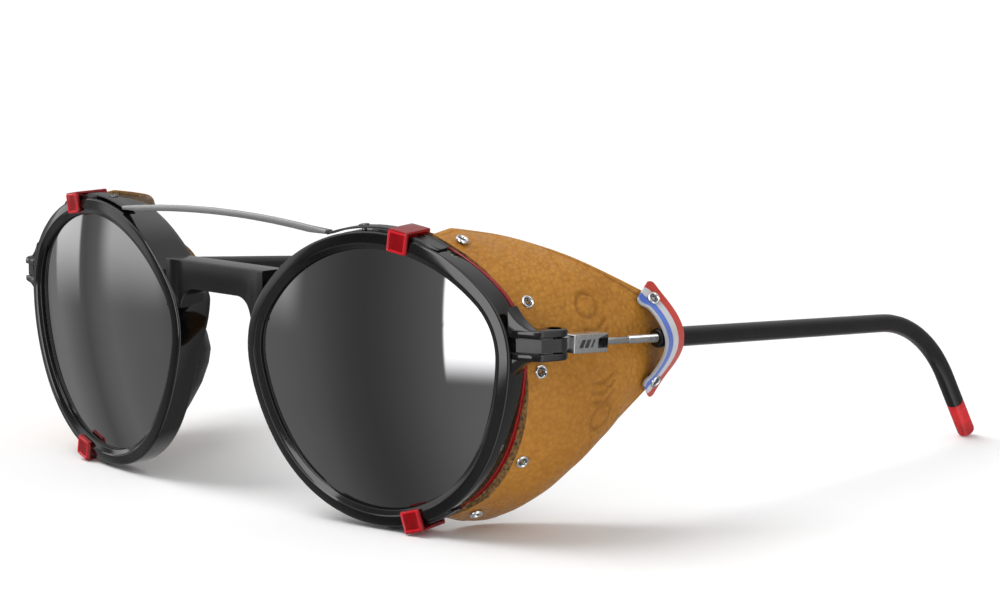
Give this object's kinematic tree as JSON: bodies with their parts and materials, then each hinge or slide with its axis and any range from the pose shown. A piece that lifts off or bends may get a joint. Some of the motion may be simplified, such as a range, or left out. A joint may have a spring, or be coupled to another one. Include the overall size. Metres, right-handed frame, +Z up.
{
  "type": "glacier glasses",
  "caption": "Round glacier glasses with folding wire-cored temples, mirror lenses and a clip-on frame of leather side shields joined by a steel bar over the bridge.",
  "frame": {"origin": "on the floor the glasses stand on, under the middle of the whole bounding box", "axes": "+X to the wearer's left, -Y out of the front of the glasses, +Y along the open temples, +Z up"},
  "size_m": [0.1364, 0.1378, 0.0506],
  "materials": {
    "smoke_frame": "translucent smoke black, polished",
    "mirror_lens": "dark grey with a silver flash mirror coating",
    "nose_rubber": "soft gloss black",
    "black_metal": "satin black",
    "steel": "satin stainless",
    "black_sleeve": "satin black",
    "red_tip": "opaque red, soft gloss",
    "tan_leather": "tan pebbled grain, dark mottled lining",
    "rivet_metal": "polished",
    "ribbon_weave": "woven blue, white and red stripes",
    "ruby_clip": "translucent ruby red, polished",
    "black_rubber": "soft gloss black"
  },
  "bodies": {
    "front": {"hinge_plate_left": "black_metal", "hinge_plate_right": "black_metal", "front_frame": "smoke_frame", "lens_left": "mirror_lens", "nose_pad_left": "nose_rubber", "hinge_screw_left": "steel", "leather_shield_left": "tan_leather", "shield_rivets_left": "rivet_metal", "clip_carrier_left": "ruby_clip", "clip_rubber_top_left": "black_rubber", "clip_rubber_bottom_left": "black_rubber", "bar_screw_left": "steel", "lens_right": "mirror_lens", "nose_pad_right": "nose_rubber", "hinge_screw_right": "steel", "leather_shield_right": "tan_leather", "shield_rivets_right": "rivet_metal", "clip_carrier_right": "ruby_clip", "clip_rubber_top_right": "black_rubber", "clip_rubber_bottom_right": "black_rubber", "bar_screw_right": "steel", "clip_bar": "steel"},
    "temple_left": {"temple_core_left": "steel", "temple_block_left": "steel", "temple_sleeve_left": "black_sleeve", "temple_tip_left": "red_tip", "ribbon_left": "ribbon_weave", "ribbon_rivets_left": "rivet_metal"},
    "temple_right": {"temple_core_right": "steel", "temple_block_right": "steel", "temple_sleeve_right": "black_sleeve", "temple_tip_right": "red_tip", "ribbon_right": "ribbon_weave", "ribbon_rivets_right": "rivet_metal"}
  },
  "joints": [
    {"name": "hinge_left", "type": "hinge", "parent": "front", "child": "temple_left", "pos_m": [0.0654, -0.05472, 0.0328], "axis": [0, 0, 1], "range_deg": [0, 85], "deforming": ["leather_shield_left"]},
    {"name": "hinge_right", "type": "hinge", "parent": "front", "child": "temple_right", "pos_m": [-0.0654, -0.05472, 0.0328], "axis": [0, 0, -1], "range_deg": [0, 80], "deforming": ["leather_shield_right"]}
  ]
}
